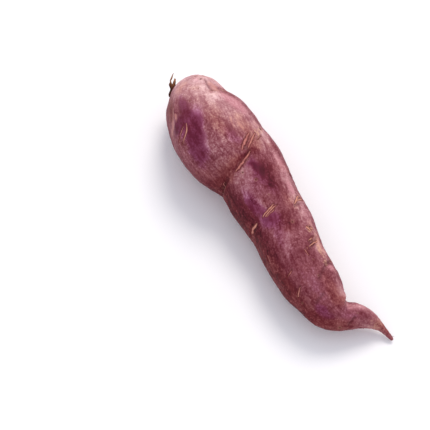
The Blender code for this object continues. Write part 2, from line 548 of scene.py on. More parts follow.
# Each patch lies at a place along the spine and a turn round it: place mm, turn degrees
# (0 is the +y side, 90 the top), half length and half width in mm, slant degrees, strength.
patches = {
    "bare": (  # dark smooth skin with the film rubbed off
        (47, 130, 11, 5, 42, 1.0),
        (50.5, 139, 5, 4, 70, 1.0),
        (31, 120, 7, 4, 8, 0.75),
        (37, 144, 3.8, 5.6, 0, 0.95),
        (110, 112, 5, 4, 10, 0.6),
        (79, 96, 5, 2.2, 0, 0.65),
        (83, 86, 6, 2, 10, 0.6),
        (54, 87, 5, 3, 0, 0.55),
        (103, 123, 5, 2, 0, 0.5),
        (98, 133, 7, 2, 10, 0.55),
        (148, 41, 2, 5, 0, 0.7),
        (128.5, 56, 2, 4, 0, 0.7),
        (137, 92, 4, 4, 20, 0.6),
        (60, -60, 16, 8, 10, 0.9),
        (110, -20, 12, 6, -10, 0.8),
        (40, 8, 8, 5, 0, 0.6),
        (130, -110, 14, 7, 0, 0.8),
        (30, -110, 10, 7, 15, 0.8),
        (92, -140, 9, 6, 20, 0.7),
        (155, -40, 8, 4, 10, 0.7),
    ),
    "deep": (  # deeper red skin; low on the sides next to the table and in folds it is painted shade
        (82, 90, 9, 7, 0, 0.5),
        (116, 92, 8, 6, 0, 0.5),
        (120, 172, 46, 10, 0, 1.0),
        (116, 152, 24, 5, 0, 0.9),
        (75, 158, 10, 11, 0, 0.45),
        (70, 128, 4, 8, 10, 0.6),
        (68.5, 100, 1.8, 7, 12, 0.8),
        (70, 84, 4, 3, 0, 0.5),
        (25, 153, 6, 4, 20, 0.45),
        (96, 82, 10, 4, 0, 0.5),
        (86, 74, 10, 4, 0, 0.45),
        (117, 88, 7, 5, 0, 0.55),
        (140, 76, 8, 4, 0, 0.4),
        (144, 118, 12, 6, 0, 0.4),
        (158, 70, 8, 5, 0, 0.4),
        (168, 130, 8, 8, 0, 0.3),
        (184, 84, 7, 2.4, 0, 0.5),
        (100, -165, 60, 10, 0, 0.7),
        (30, -150, 20, 9, 0, 0.6),
        (150, -150, 16, 7, 0, 0.6),
    ),
    "dusty": (  # pale lilac film; the one on the upper edge at 67 mm is partly a painted highlight
        (56, 122, 7, 4.6, 20, 0.6),
        (50, 103, 8, 4, 10, 0.5),
        (82, 110, 8, 3.8, 14, 1.0),
        (86, 124, 6, 3.2, 10, 0.8),
        (96, 112, 6, 3, 8, 0.6),
        (125, 97, 7, 4, 6, 0.9),
        (132, 112, 5, 3.5, 0, 0.6),
        (107, 58, 7, 3, 0, 0.4),
        (67, 46, 5, 3.5, 0, 1.0),
        (36, 84, 5, 3.4, 10, 0.8),
        (36, 68, 4, 3, 0, 0.8),
        (157, 138, 4, 3, 0, 0.5),
        (152, 118, 3, 3, 0, 0.4),
        (50, -20, 14, 9, 0, 0.7),
        (90, -50, 14, 8, 0, 0.8),
        (120, 10, 10, 5, 0, 0.7),
        (75, -120, 12, 9, 0, 0.7),
        (150, -80, 10, 6, 0, 0.7),
    ),
    "pale": (  # thin pinkish skin round the crown, and a painted highlight along the upper edge
        (8, 80, 14, 14, 0, 1.0),
        (24, 84, 11, 6, 4, 0.9),
        (36, 70, 6, 4, 0, 0.6),
        (36, 88, 9, 6, 0, 0.3),
        (10, 100, 9, 10, 0, 0.35),
        (58, 50, 8, 5, 0, 0.45),
        (67, 66, 6, 4, 0, 0.4),
        (136, 50, 5, 3, 0, 0.3),
        (188, 48, 7, 3, 0, 0.4),
        (8, 20, 13, 14, 0, 0.6),
        (10, -80, 8, 12, 0, 0.5),
        (17, 116, 10, 4.6, 5, 0.5),
        (45, 58, 12, 5, 0, 0.35),
        (49, 72, 8, 4, 0, 0.4),
        (40, 90, 9, 5, 0, 0.3),
        (36, 106, 5, 3, 0, 0.3),
        (100, 44, 11, 3.6, 0, 0.6),
        (84, 46, 9, 3, 0, 0.4),
        (113, 46, 6, 3.4, 0, 0.4),
        (124, 42, 6, 3, 0, 0.35),
        (93, 53, 1.2, 1.6, 0, 0.5),
        (81, 53, 1, 1.4, 0, 0.4),
        (74, 44, 4, 2.4, 0, 0.3),
        (66, 50, 5, 3.4, 0, 0.4),
        (137, 40, 8, 3.4, 0, 0.4),
        (165, 46, 7, 3, 0, 0.5),
        (182, 50, 7, 3, 0, 0.3),
        (190, 160, 6, 2, 0, 0.4),
    ),
    "ruddy": (  # brownish red; the long bands low on both sides are painted shade with a red cast of bounced light
        (118, 176, 50, 8, 0, 0.8),
        (72, 150, 9, 9, 0, 1.0),
        (67, 118, 4, 6, 0, 0.8),
        (24, 151, 7, 5, 0, 0.9),
        (146, 158, 14, 6, 0, 0.7),
        (160, 74, 9, 5, 0, 0.6),
        (168, 160, 8, 5, 0, 0.8),
        (166, 80, 4.5, 3, 0, 0.7),
        (106, 66, 8, 5, 0, 0.5),
        (66, 78, 6, 6, 0, 0.7),
        (56, 66, 8, 5, 0, 0.6),
        (50, 96, 8, 5, 0, 0.6),
        (34, 92, 12, 7, 0, 0.3),
        (192, 115, 4, 3, 0, 1.0),
        (110, -160, 60, 10, 0, 0.6),
        (196, 0, 7, 4, 0, 0.6),
        (60, -100, 14, 8, 0, 0.6),
    ),
    "tan": (  # weathered corky skin
        (63.5, 55, 2.2, 3.4, 0, 1.0),
        (123.5, 52, 1.8, 2, 0, 0.9),
        (139, 47, 4.4, 2, 0, 0.8),
        (147, 50, 1.6, 2, 0, 0.7),
        (28, 48, 5, 1.6, 12, 0.7),
        (104, 40, 3, 4, 60, 0.5),
        (190, 112, 3, 2, 0, 0.6),
        (90, 0, 6, 3, 40, 0.7),
        (45, -90, 5, 4, 0, 0.7),
        (128, -60, 5, 3, 20, 0.6),
    ),
    "blush": (  # clear bright pink; the patches along the upper edge are also a painted highlight
        (39, 57, 6, 3.6, 0, 1.0),
        (46, 50, 6, 4, 0, 0.7),
        (97, 46, 5, 2.4, 0, 0.9),
        (14, 84, 5, 2, 0, 0.6),
        (82, 45, 8, 3, 0, 0.6),
        (114, 42, 6, 3, 0, 0.5),
        (177, 58, 6, 3, 0, 0.6),
        (151, 46, 2, 3, 0, 0.9),
        (30, -40, 8, 5, 0, 0.6),
        (32, 160, 3, 7, 0, 0.5),
    ),
    "salmon": (  # warm thin skin, torn or stretched
        (24, 62, 7.5, 3.0, 4, 1.0),
        (13, 114, 9, 4, 5, 0.8),
        (55, 72, 3, 0.9, 10, 0.9),
        (51, 78, 3, 0.8, 18, 0.6),
        (33, 160, 2.2, 8, 0, 0.7),
        (29, 147, 6, 0.9, 50, 1.0),
        (31.6, 138, 2.4, 0.8, 0, 0.9),
        (137, 40, 6, 3.6, 0, 0.6),
        (60, 45, 5, 5, 0, 0.4),
        (131, 38, 4, 3, 0, 0.6),
        (120, 40, 5, 3, 0, 0.5),
        (60, -85, 9, 5, 20, 0.6),
        (100, -80, 8, 4, -10, 0.6),
        (20, -50, 6, 5, 0, 0.6),
        (140, 0, 7, 4, 0, 0.6),
    ),
    "violet": (  # cold purple
        (46, 129, 13, 6, 42, 1.0),
        (50.5, 139, 6, 5, 70, 1.0),
        (37, 144, 5, 6, 0, 0.8),
        (30, 119, 8, 3, 6, 0.5),
        (110, 114, 5, 5, 0, 0.9),
        (101, 124, 6, 3, 0, 0.9),
        (96, 131, 8, 2.4, 10, 0.8),
        (79, 97, 6, 3, 0, 0.8),
        (88, 112, 10, 5, 0, 0.5),
        (165, 133, 2.4, 2.4, 60, 1.0),
        (90, 84, 14, 4, 0, 0.5),
        (124, 108, 12, 6, 0, 0.5),
        (155, 100, 16, 8, 0, 0.36),
        (178, 104, 8, 5, 0, 0.36),
        (57, 92, 7, 4, 0, 0.5),
        (60, -60, 12, 6, 10, 0.7),
        (130, -110, 10, 5, 0, 0.7),
    ),
}

# swellings and dents: place, turn, half length, half width, slant, height, all in mm and degrees
swellings = (
    (11, 68, 4, 4, 0, 0.6),
    (7, 116, 5, 6, 0, -0.6),
    (4, 96, 4, 5, 0, 0.2),
    (24, 50, 15, 5, 0, -1.0),
    (22.5, 50, 2.5, 3, 0, 0.5),
    (29, 50, 2.5, 3, 0, 0.4),
    (19, 158, 12, 6, 0, -0.9),
    (20, 166, 11, 13, 0, -1.9),
    (32, 172, 8, 5, 0, -0.5),
    (70, 25, 6, 6, 0, 1.1),
    (114, 14, 6, 6, 0, 1.0),
    (175, 74, 2.5, 4, 0, -1.4),
    (174, 42, 2.6, 4, 0, -1.7),
    (169.5, 52, 3, 5, 0, 0.8),
    (114, 178, 15, 5, 0, -0.7),
    (137, 178, 8, 5, 0, -0.6),
    (168, -178, 5, 5, 0, 0.7),
    (46, 127, 14, 6, 27, -0.35),
    (30, 141, 7, 1.6, 30, 0.4),
    (62, 52, 4, 4, 0, 0.7),
    (74, 60, 8, 7, 0, -0.5),
    (77, 170, 5, 8, 0, -0.5),
    (96, 120, 14, 8, 0, 0.4),
    (112, 100, 8, 10, 0, -0.3),
    (124, 48, 3, 3, 0, 0.5),
    (131, 50, 3, 7, 0, -0.35),
    (140, 38, 6, 4, 0, 0.6),
    (147, 48, 2, 6, -20, -0.8),
    (151, 50, 3, 4, 0, 0.7),
    (155, 130, 8, 6, 0, 0.4),
    (165, 110, 6, 8, 0, -0.3),
    (178, 55, 6, 3.5, 0, 0.4),
    (50, -40, 14, 10, 0, 0.5),
    (85, -20, 8, 10, 0, -0.5),
    (120, -30, 12, 8, 0, 0.4),
    (35, -100, 10, 9, 0, -0.4),
    (135, -100, 10, 9, 0, -0.4),
)

patchEdge = {"power": 1.3, "falloff": 0.7}  # higher values give a patch a harder edge
wandering = {
    "seed": 4,
    "layers": (  # scale of the noise, and how far it moves a patch along and around, in mm
        (95, 2.4, 1.8),
        (330, 1.3, 1.0),
    ),
}
twist = 0.0115  # how far the skin's grain winds round the root, in radians to a mm


def patchStrength(grown, patch, warp=0.0):
    place, degrees, halfLength, halfWidth, slant, strength = patch
    radius = np.hypot(grown[:, 1], grown[:, 2])
    turn = np.arctan2(grown[:, 2], grown[:, 1]) - math.radians(degrees)
    turn = np.arctan2(np.sin(turn), np.cos(turn))
    along = grown[:, 0] / mm - place
    around = turn * radius / mm
    if np.ndim(warp):
        along, around = along + warp[:, 0], around + warp[:, 1]
    cosine, sine = math.cos(math.radians(slant)), math.sin(math.radians(slant))
    first = (along * cosine + around * sine) / halfLength
    second = (around * cosine - along * sine) / halfWidth
    distance = (first**2 + second**2) ** patchEdge["power"]
    return strength * np.exp(-distance * patchEdge["falloff"])


def wander(grown):
    # takes the patches out of their plain oval shapes
    softNoise.seed_set(wandering["seed"])  # unseeded, this noise changes with the clock
    found = np.zeros((len(grown), 2))
    for k, place in enumerate(grown):
        for scale, along, around in wandering["layers"]:
            moved = softNoise.noise_vector(Vector(place) * scale)
            found[k] += (along * moved.x, around * moved.y)
    return found


def storePatches(mesh):
    grown = vectorValues(mesh, "grown")
    warp = wander(grown)
    for name, entries in patches.items():
        clear = np.prod([1 - patchStrength(grown, entry, warp) for entry in entries], axis=0)
        storeValues(mesh, name, 1 - clear)
    storeValues(mesh, "swell", sum(patchStrength(grown, entry) for entry in swellings) * mm)
    radius = np.hypot(grown[:, 1], grown[:, 2])
    turn = np.arctan2(grown[:, 2], grown[:, 1]) - twist * grown[:, 0] / mm
    winding = np.column_stack([grown[:, 0], radius * np.cos(turn), radius * np.sin(turn)])
    storeValues(mesh, "fibre", winding, "FLOAT_VECTOR")


print("root: patches and swellings")
storePatches(loftMesh)

# A scar is a slit across the root with a corky lip along it: its path as (place, turn), its half
# width in mm and how tan it is. The crack is on the right of the path's run, seen from outside.
scars = {
    "paths": (
        (((39.5, 130), (43, 140), (45, 156)), 0.75, 0.5),
        (((43, 158), (41, 148), (39, 132)), 0.65, 0.4),
        (((65.5, 98), (63.5, 85), (61.5, 70)), 1.35, 0.1),
        (((67, 90), (65, 75), (63, 62)), 0.8, 0.2),
        (((75, 124), (72, 106), (68.5, 88)), 1.2, 0.15),
        (((66.5, 68), (66, 60), (66, 53)), 0.5, 0.6),
        (((108, 60), (105.5, 50), (103, 40)), 1.0, 1.0),
        (((106, 52), (105.5, 40), (105, 28)), 0.8, 1.0),
        (((107, 126), (105, 110), (103.5, 95)), 0.75, 0.7),
        (((107.5, 120), (106, 106), (104.5, 90)), 0.65, 0.6),
        (((108, 118), (107, 106), (106, 98)), 0.5, 0.5),
        (((107, 140), (108, 156), (109, 174)), 1.4, 0.5),
        (((125, 50), (123.5, 54), (122, 58)), 1.3, 1.0),
        (((124, 43), (122.5, 50)), 0.9, 1.0),
        (((130.5, 41), (133, 55), (135, 70)), 0.75, 0.9),
        (((128, 46), (130, 56), (131.5, 66)), 0.5, 0.8),
        (((135.5, 82), (140, 80)), 0.5, 0.3),
        (((134.5, 76), (137, 75)), 0.4, 0.3),
        (((151, 128), (152.5, 140), (154, 150)), 0.8, 0.3),
        (((128, 154), (131.5, 157)), 0.6, 0.3),
        (((142, 122), (143.5, 141)), 0.45, 0.3),
        (((75.5, 149), (78, 162), (79.5, 178)), 0.7, 0.3),
        (((52, -20), (54, -44), (55, -62)), 1.1, 0.3),
        (((53.5, -16), (56, -38)), 0.7, 0.3),
        (((84, -40), (86, -66)), 1.0, 0.3),
        (((95, 8), (96.5, -14)), 1.2, 0.3),
        (((118, -50), (120, -80), (119.5, -104)), 1.0, 0.3),
        (((138, -20), (139.5, -48)), 0.8, 0.3),
        (((33, -10), (35, -30)), 0.8, 0.3),
        (((44, -110), (46, -134), (47, -150)), 1.0, 0.3),
        (((100, -130), (101.5, -152)), 0.8, 0.3),
        (((156, -70), (157, -100)), 0.7, 0.3),
    ),
    "step": 0.3,  # spacing along a scar, in mm
    "waver": 0.16,  # how far a scar wanders sideways, in mm
    "uneven": (0.78, 1.22),  # least and most of its half width along its run
    "trough": 0.3,  # depth of the dip in the skin under a scar, in mm
    "shoulder": 0.22,  # height of the skin beside it
    "seed": 5,
}
creases = {
    "paths": (
        ((109, 62), (108.5, 55), (108, 48)),
        ((128.5, 38), (131, 52), (132.5, 64)),
        ((136.5, 70), (135, 61), (134, 54)),
        ((145.5, 30), (147, 46), (148.5, 58)),
        ((148, 56), (150.5, 72), (153, 88)),
        ((74.5, 142), (78, 160), (79, 185), (78, 210)),
        ((66, 92), (69, 92), (70, 98)),
        ((15, 68), (22, 70), (30, 70)),
        ((167, 20), (170.5, 45), (171, 70)),
        ((176, 150), (178, 120)),
        ((160, 100), (161, 125)),
        ((88, 30), (90, 8), (90, -20)),
        ((150, -10), (152, -50), (151, -90)),
        ((80, -120), (82, -90), (81, -60)),
    ),
    "step": 1.0,
    "depth": 0.55,
}


def pathPoints(path, step):
    # a smooth run over the skin through a few (place, turn) points
    given = np.array(path, float)
    share = np.linspace(0, 1, len(given))
    fits = [np.polyfit(share, given[:, k], min(2, len(given) - 1)) for k in (0, 1)]

    def along(shares):
        return form.skinPoint(*(np.polyval(fit, shares) for fit in fits))

    rough = along(np.linspace(0, 1, 60))
    length = np.linalg.norm(np.diff(rough, axis=0), axis=1).sum() / mm
    where = np.linspace(0, 1, max(4, int(length / step) + 1))
    return along(where), where


def pathMesh(name, paths, step):
    chance = np.random.default_rng(scars["seed"])
    runs, widths, tans = [], [], []
    for path, halfWidth, tan in paths:
        points, where = pathPoints(path, step)
        knots = np.linspace(0, 1, max(4, len(points) // 4))
        sideways = np.interp(where, knots, chance.normal(0, scars["waver"], len(knots)))
        uneven = np.interp(where, knots, chance.uniform(*scars["uneven"], len(knots)))
        taper = np.clip(np.sin(math.pi * where), 0.02, 1) ** 0.4
        runs.append(points + sideways[:, None] * np.array([mm, 0, 0]))
        widths.append(halfWidth * mm * uneven * taper)
        tans.extend([tan] * len(points))
    mesh = chainMesh(name, runs, widths)
    storeValues(mesh, "tan", tans)
    return mesh


creasePaths = [(path, 1.0, 0) for path in creases["paths"]]
scarGuide = addObject("scarGuide", pathMesh("scarPaths", scars["paths"], scars["step"]))
creaseGuide = addObject("creaseGuide", pathMesh("creasePaths", creasePaths, creases["step"]))

# small dark pits where hair roots broke off: place, turn, radius in mm
eyes = {
    "placed": (
        (5, 72, 1.2),
        (9.5, 63, 1.2),
        (14, 76, 1.0),
        (8.5, 80, 0.9),
        (29.5, 70, 0.9),
        (31, 67, 0.7),
        (29, 42, 0.9),
        (25.5, 46, 0.7),
        (24, 87, 0.5),
        (62.5, 44, 1.4),
        (79.5, 115, 0.6),
        (30.5, 108, 0.6),
        (104, 36, 0.9),
        (122.5, 49, 0.9),
        (131, 54, 0.7),
        (12, 120, 0.5),
        (18, 30, 0.7),
        (6, -20, 0.9),
        (11, -60, 0.7),
        (14, -100, 0.8),
    ),
    "rows": 5,
    "perRow": 9,
    "firstPlace": 20,
    "rowLength": 165,
    "firstTurn": 20,
    "jitter": 9,
    "radii": (0.35, 0.7),
    "seed": 11,
    "depth": 0.5,
}


def eyeMesh():
    # eyes stand in loose rows along the root, besides the ones that are placed
    chance = np.random.default_rng(eyes["seed"])
    found = list(eyes["placed"])
    for row in range(eyes["rows"]):
        for k in range(eyes["perRow"]):
            along = (k + chance.uniform(0, 1)) * eyes["rowLength"] / eyes["perRow"]
            around = row * 360 / eyes["rows"]
            turn = eyes["firstTurn"] + around + chance.normal(0, eyes["jitter"])
            found.append((eyes["firstPlace"] + along, turn, chance.uniform(*eyes["radii"])))
    table = np.array(found)
    mesh = pointMesh("eyePoints", form.skinPoint(table[:, 0], table[:, 1]))
    storeValues(mesh, "halfWidth", table[:, 2] * mm)
    return mesh


eyeGuide = addObject("eyeGuide", eyeMesh())

# what pushes the skin in and out, in mm
relief = {
    "Lumps": 0.8,
    "Dents": 0.35,
    "Wrinkles": 0.12,
    "Tail Wrinkles": 0.3,
    "Grain": 0.05,
    "Trough": scars["trough"],
    "Shoulder": scars["shoulder"],
    "Crease Depth": creases["depth"],
    "Eye Depth": eyes["depth"],
}
tail = {"starts": 160, "wrinkled": 180}  # places in mm: wrinkles begin, and are at their deepest
skinClearance = 0.02  # least height of the skin over the table, in mm


def reliefTree(graph, given):
    # pushes the lofted form in and out, and keeps masks for the colouring
    here = graph.position()
    grown = graph.kept("grown", "FLOAT_VECTOR")

    def size(name):
        return given[name] * mm

    def distanceTo(geometry, element):
        return graph.node(
            "GeometryNodeProximity",
            {"target_element": element},
            {0: geometry, "Source Position": here},
            "Distance",
        )

    def nearestWidth(geometry):
        index = graph.node("GeometryNodeSampleNearest", {"domain": "POINT"}, {0: geometry, 1: here})
        return graph.atPoint(geometry, graph.kept("halfWidth"), index)

    tailShare = graph.smooth(graph.parts(grown)[0], tail["starts"] * mm, tail["wrinkled"] * mm)
    height = graph.kept("swell") + graph.noise(here, 30.0, 1.0) * size("Lumps")
    height = height + graph.noise(here + (0.3, 0, 0), 85.0, 2.0) * size("Dents")
    lengthwise = graph.noise(grown * (0.3, 1.0, 1.0), 330.0, 2.0, 0.55)
    height = height + lengthwise * size("Wrinkles")
    crosswise = graph.noise(grown * (1.0, 0.5, 0.5), 420.0, 2.0, 0.6, 0.6)
    height = height + crosswise * size("Tail Wrinkles") * (tailShare * 0.85 + 0.15)
    height = height + graph.noise(here, 900.0, 2.0, 0.6) * size("Grain")

    scarShape = graph.shapeOf(given["Scars"])
    scarDistance = distanceTo(scarShape, "EDGES") / mm
    scarWidth = nearestWidth(scarShape) / mm
    trough = graph.bell(scarDistance, scarWidth * 1.2 + 0.2)
    shoulder = graph.bell(scarDistance - scarWidth * 1.6 - 0.5, 0.9)
    height = height - trough * size("Trough") + shoulder * size("Shoulder")

    creaseDistance = distanceTo(graph.shapeOf(given["Creases"]), "EDGES") / mm
    creaseLine = graph.bell(creaseDistance, 0.8)
    creaseSide = graph.bell(creaseDistance - 2.0, 1.1)
    height = height - (creaseLine - creaseSide * 0.4) * size("Crease Depth")

    eyeShape = graph.shapeOf(given["Eyes"])
    eyeShare = distanceTo(eyeShape, "POINTS") / nearestWidth(eyeShape)
    eyePit = graph.bell(eyeShare, 0.8)
    eyeRim = graph.bell(eyeShare - 1.7, 0.6)
    height = height - (eyePit - eyeRim * 0.35) * size("Eye Depth")

    geometry = given["Geometry"]
    for name, value in (
        ("scarNear", graph.bell(scarDistance, scarWidth * 1.15 + 0.35)),
        ("creaseNear", creaseLine),
        ("eyePit", graph.bell(eyeShare, 0.9)),
        ("eyeRing", graph.bell(eyeShare, 2.4)),
    ):
        geometry = graph.keep(geometry, name, value)
    return graph.moveAbove(geometry, here + graph.normal() * height, skinClearance)


skinLook = {
    "dark to pale": (
        (0.0, (58, 8, 18)),
        (0.25, (102, 35, 46)),
        (0.5, (142, 81, 89)),
        (0.75, (184, 133, 136)),
        (1.0, (230, 192, 192)),
    ),
    "warmShift": (1.08, 1.04, 0.82),  # the skin's colour is multiplied by these
    "violetShift": (1.0, 0.82, 1.36),
    "blush": (206, 132, 144),
    "salmon": (206, 146, 132),
    "tan": (206, 156, 132),
    "scarRim": (98, 40, 36),
    # painted shade along the creases
    "crease": (84, 32, 40),
    "eyeRing": (170, 116, 100),
    "eyePit": (86, 44, 34),
    "fleck": (182, 132, 112),
    "roughness": 0.6,
    "finish": {
        "Specular IOR Level": 0.08,
        "Sheen Weight": 0.03,
        "Sheen Roughness": 0.4,
        "Sheen Tint": (1.0, 0.93, 0.95, 1),
    },
}


def skinMaterial():
    material, graph, shader = newMaterial("purpleSkin")
    read = graph.read
    spot = graph.spot()
    fibre = read("fibre", "Vector")
    broad = graph.noise(spot, 38.0, 2.0)
    cloud = graph.noise(spot + (0.4, 0.1, 0), 120.0, 3.0, 0.6, 0.3)
    mottle = graph.noise(spot, 400.0, 3.0, 0.65, 0.5)
    speck = graph.noise(spot + (0, 0.7, 0), 1050.0, 2.0, 0.6)
    streak = graph.noise(fibre * (0.22, 1.0, 1.0), 620.0, 3.0, 0.65)
    wisp = graph.noise(fibre * (0.3, 1.0, 1.0) + (0.2, 0, 0), 190.0, 3.0, 0.65, 0.4)
    ragged = cloud * 0.12 + mottle * 0.18 + wisp * 0.24 + speck * 0.14

    def patch(name, softness=0.25, rough=1.0):
        return graph.smooth(read(name) + ragged * rough, 0.5 - softness, 0.5 + softness)

    bare = patch("bare", 0.18, 0.6)
    # deeper red, with painted shade low on the sides and in folds
    deep = patch("deep", 0.4)
    # pale lilac film, at one place on the upper edge partly a painted highlight
    dusty = patch("dusty", 0.35)
    # bright pink, partly a painted highlight along the upper edge
    blush = patch("blush", 0.4)
    # pale skin, with a painted highlight along the upper edge
    pale = read("pale")
    # how light the skin is: its mottling first, then its patches, with painted shade low on the sides
    # and a painted highlight along the upper edge
    lively = 1 - bare * 0.6 - pale * 0.5 - dusty * 0.2
    level = 0.47 + broad * 0.07 + cloud * 0.13 + wisp * 0.17 + streak * 0.2 * lively
    level = level + (mottle * 0.19 + graph.maths("MAXIMUM", speck, -0.12) * 0.32 - 0.03) * lively
    level = level + dusty * 0.15 + pale * 0.42 + blush * 0.1 - bare * 0.17 - deep * 0.24
    base = graph.ramp(level, skinLook["dark to pale"])
    # warm and cold skin keep their depth and only lean to brown red or to violet; low on the sides the
    # brown red lean is painted shade with a red cast of bounced light
    earthy = graph.smooth(graph.noise(spot + (0.9, 0, 0), 75.0, 3.0, 0.6), -0.1, 0.8)
    warm = graph.maths("MAXIMUM", earthy * 0.6, patch("ruddy", 0.4))
    base = graph.mix(warm, base, opaque(skinLook["warmShift"]), "MULTIPLY")
    violet = patch("violet", 0.3, 0.7) * (1 - dusty * 0.7)
    base = graph.mix(violet, base, opaque(skinLook["violetShift"]), "MULTIPLY")
    weathered = patch("tan", 0.3) * graph.smooth(wisp + speck * 0.8 + 0.3, -0.2, 0.8)
    scarRim = graph.smooth(read("scarNear") + ragged * 0.6, 0.34, 0.8)
    eyeRing = graph.smooth(read("eyeRing") + ragged * 0.6, 0.35, 0.8)
    eyePit = graph.smooth(read("eyePit"), 0.35, 0.75)
    fleck = graph.smooth(graph.noise(fibre * (1.0, 0.45, 0.45), 520.0, 2.0, 0.6), 0.62, 0.95)
    fleckShare = 0.42 - graph.maths("MINIMUM", deep + patch("ruddy", 0.0) * 0.6, 1.0) * 0.34
    for name, factor in (
        ("blush", blush * 0.4),
        ("salmon", patch("salmon", 0.3) * 0.5),
        ("tan", weathered * 0.8),
        ("scarRim", scarRim * 0.62),
        # painted shade in the creases
        ("crease", read("creaseNear") * 0.5),
        ("eyeRing", eyeRing * 0.25),
        ("eyePit", eyePit * 0.9),
        ("fleck", fleck * fleckShare),
    ):
        base = graph.paint(factor, base, skinLook[name])
    rough = skinLook["roughness"] + mottle * 0.05 + dusty * 0.08 - bare * 0.08
    bump = graph.bump(mottle * 0.3 + speck * 0.3 + streak * 0.3 + fleck * 0.5, 0.5, 0.15)
    graph.feed(shader, {"Base Color": base, "Roughness": rough, "Normal": bump})
    graph.feed(shader, skinLook["finish"])
    return material


corkLook = {
    # the crack beside the lip is dark partly as a painted shadow of the raised lip
    "shaded crack to crest": (
        (0.0, (62, 22, 24)),
        (0.3, (122, 56, 54)),
        (0.55, (182, 110, 104)),
        (0.8, (208, 142, 124)),
        (1.0, (230, 184, 152)),
    ),
    "dry": (224, 168, 134),
    "finish": {"Roughness": 0.75, "Specular IOR Level": 0.2},
}


def corkMaterial():
    material, graph, shader = newMaterial("corkyScar")
    spot = graph.spot()
    patchy = graph.noise(spot, 300.0, 3.0, 0.6)
    grain = graph.noise(spot, 1500.0, 3.0, 0.6)
    # fibres run along the lip and fine splits cross it
    run = graph.read("run")
    out = graph.parts(graph.read("sectionPlace", "Vector"))[1]
    fibre = graph.noise(graph.vector(out * 2.2, run * 260.0), 2.2, 3.0, 0.6)
    split = graph.noise(graph.vector(out * 0.7, run * 1500.0), 1.0, 2.0)
    split = graph.smooth(split, 0.35, 0.8)
    # dark in the crack, partly a painted shadow of the lip, and tan on its crest
    level = graph.read("crest") * 0.62 + fibre * 0.24 + patchy * 0.26 + grain * 0.14 - split * 0.3
    base = graph.ramp(level, corkLook["shaded crack to crest"])
    dry = graph.smooth(level, 0.2, 0.75) * graph.smooth(graph.read("tan") + patchy * 0.4, 0.1, 1.0)
    base = graph.paint(dry * 0.6, base, corkLook["dry"])
    bump = graph.bump(grain + fibre - split, 0.6, 0.12)
    graph.feed(shader, {"Base Color": base, "Normal": bump})
    graph.feed(shader, corkLook["finish"])
    return material


print("root: relief, scars, creases and eyes")
corkyScar = corkMaterial()
guides = {"Scars": scarGuide, "Creases": creaseGuide, "Eyes": eyeGuide}
skinMesh = grow("rootSkin", loftMesh, reliefTree, guides | relief)
skin = addPiece("rootSkin", skinMesh, skinMaterial())
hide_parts("sweet_potato")

lips = {
    # the section across a scar, in shares of its half width: a raised lip, and the crack beside it
    "section": (
        (-1.0, -0.5),
        (-0.88, -0.06),
        (-0.74, 0.12),
        (-0.45, 0.27),
        (-0.05, 0.32),
        (0.3, 0.26),
        (0.52, 0.12),
        (0.64, 0.0),
        (0.8, -0.03),
        (0.95, -0.06),
        (1.05, -0.5),
    ),
    "rough": 0.16,
    "sink": 0.1,  # how deep the lips sit in the skin, in mm
    "clearance": 0.01,  # least height over the table, in mm
}


def lipSection():
    points = lips["section"]
    curve = bpy.data.curves.new("lipSection", "CURVE")
    curve.dimensions = "2D"
    spline = curve.splines.new("POLY")
    spline.points.add(len(points) - 1)
    # a sweep lays the section's own x along the skin's normal
    for point, (across, height) in zip(spline.points, points):
        point.co = (height, across, 0, 1)
    return addObject("lipSection", curve)


def scarTree(graph, given):
    # sweeps the lips along each scar, laid on the skin
    here = graph.position()
    skinShape = graph.shapeOf(given["Skin"])

    def onSkin(value):
        return graph.node(
            "GeometryNodeSampleNearestSurface",
            {"data_type": "FLOAT_VECTOR"},
            {"Mesh": skinShape, "Value": value, "Sample Position": here},
        )

    surface = onSkin(graph.position())
    upright = onSkin(graph.normal())
    marked = graph.keep(given["Geometry"], "upright", upright, "FLOAT_VECTOR")
    runs = graph.node("GeometryNodeMeshToCurve", None, {0: marked})
    runs = graph.keep(runs, "run", graph.splinePlace("Length"))
    laid = graph.move(runs, surface - upright * (given["Sink"] * mm))
    direction = graph.kept("upright", "FLOAT_VECTOR")
    turned = graph.node(
        "GeometryNodeSetCurveNormal", {"mode": "FREE"}, {"Curve": laid, "Normal": direction}
    )
    section = graph.shapeOf(given["Section"])
    section = graph.keep(section, "sectionPlace", graph.position(), "FLOAT_VECTOR")
    swept = graph.sweep(turned, section, graph.kept("halfWidth"), False)
    rough = graph.noise(here, 900.0, 2.0, 0.6) * (given["Rough"] * mm)
    coarse = graph.noise(here, 260.0, 2.0) * (given["Rough"] * mm)
    crumbled = graph.moveAbove(swept, here + graph.normal() * (rough + coarse), lips["clearance"])
    out = graph.parts(graph.kept("sectionPlace", "FLOAT_VECTOR"))[1]
    # 1 on the lip's crest and 0 in the crack, which the cork colours paint dark, partly as the lip's
    # shadow
    crest = graph.smooth(out, -0.9, -0.35) - graph.smooth(out, 0.15, 0.6)
    return graph.keep(crumbled, "crest", crest)


print("scars: sweeping corky lips")
scarMesh = grow(
    "scarLips",
    scarGuide.data.copy(),
    scarTree,
    {
        "Skin": skin,
        "Section": lipSection(),
        "Rough": lips["rough"],
        "Sink": lips["sink"],
        "Material": corkyScar,
    },
)
scarLips = addPiece("scarLips", scarMesh, corkyScar)

